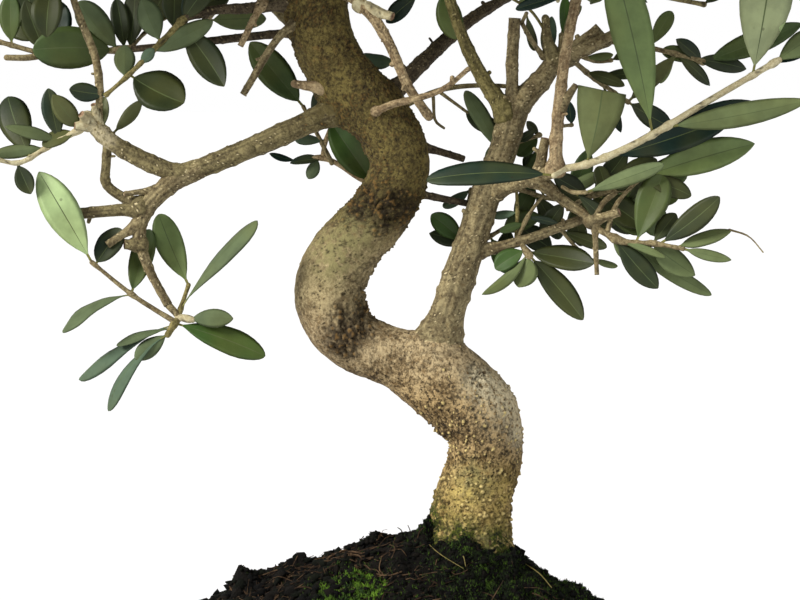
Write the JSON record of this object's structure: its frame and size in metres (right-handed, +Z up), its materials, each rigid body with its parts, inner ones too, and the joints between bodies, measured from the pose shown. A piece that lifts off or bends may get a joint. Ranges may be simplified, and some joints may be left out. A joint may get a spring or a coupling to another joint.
{
  "type": "olive bonsai",
  "caption": "Olive bonsai with an S-shaped tapering trunk, spreading boughs and open sprays of slim grey-green leaves, in a plain oval stoneware pot filled with soil.",
  "frame": {"origin": "Middle of the pot's flat underside, on the surface that the plant stands on.", "axes": "+Z is up, +X is to the right of the plant's front view, and -Y faces the viewer."},
  "size_m": [0.3763, 0.2707, 0.4582],
  "materials": {
    "pot": "matte",
    "soil": "matte",
    "bark": "matte",
    "young_bark": "matte",
    "foliage": "satin"
  },
  "bodies": {
    "root": {"pot": "pot", "soil": "soil", "trunk": "bark", "bough_left": "young_bark", "bough_left_upper": "young_bark", "bough_left_lower": "young_bark", "bough_left_riser": "young_bark", "bough_upper_left": "young_bark", "bough_top_left": "young_bark", "bough_stub_right": "young_bark", "bough_right": "young_bark", "bough_right_inner": "young_bark", "bough_right_main": "young_bark", "bough_right_side": "young_bark", "bough_right_riser": "young_bark", "bough_right_drop": "young_bark", "bough_right_low": "young_bark", "bough_back_right": "young_bark", "bough_back_left": "young_bark", "bough_crown_front": "young_bark", "bough_crown_back": "young_bark", "bough_crown_left": "young_bark", "bough_crown_right": "young_bark", "foliage_left_hanging": "foliage", "foliage_left_outer": "foliage", "foliage_upper_left": "foliage", "foliage_top_left": "foliage", "foliage_trunk_back": "foliage", "foliage_right_long": "foliage", "foliage_right_drop": "foliage", "foliage_right_low": "foliage", "foliage_right_bud": "foliage", "foliage_right_bend": "foliage", "foliage_right_back": "foliage", "foliage_right_mid": "foliage", "foliage_right_upper": "foliage", "foliage_apex": "foliage", "foliage_crown_front": "foliage", "foliage_crown_back": "foliage", "foliage_crown_left": "foliage", "foliage_crown_right": "foliage", "foliage_back_left": "foliage", "foliage_back_right": "foliage", "foliage_left_high": "foliage", "foliage_right_high": "foliage", "foliage_right_crown": "foliage"}
  },
  "joints": []
}
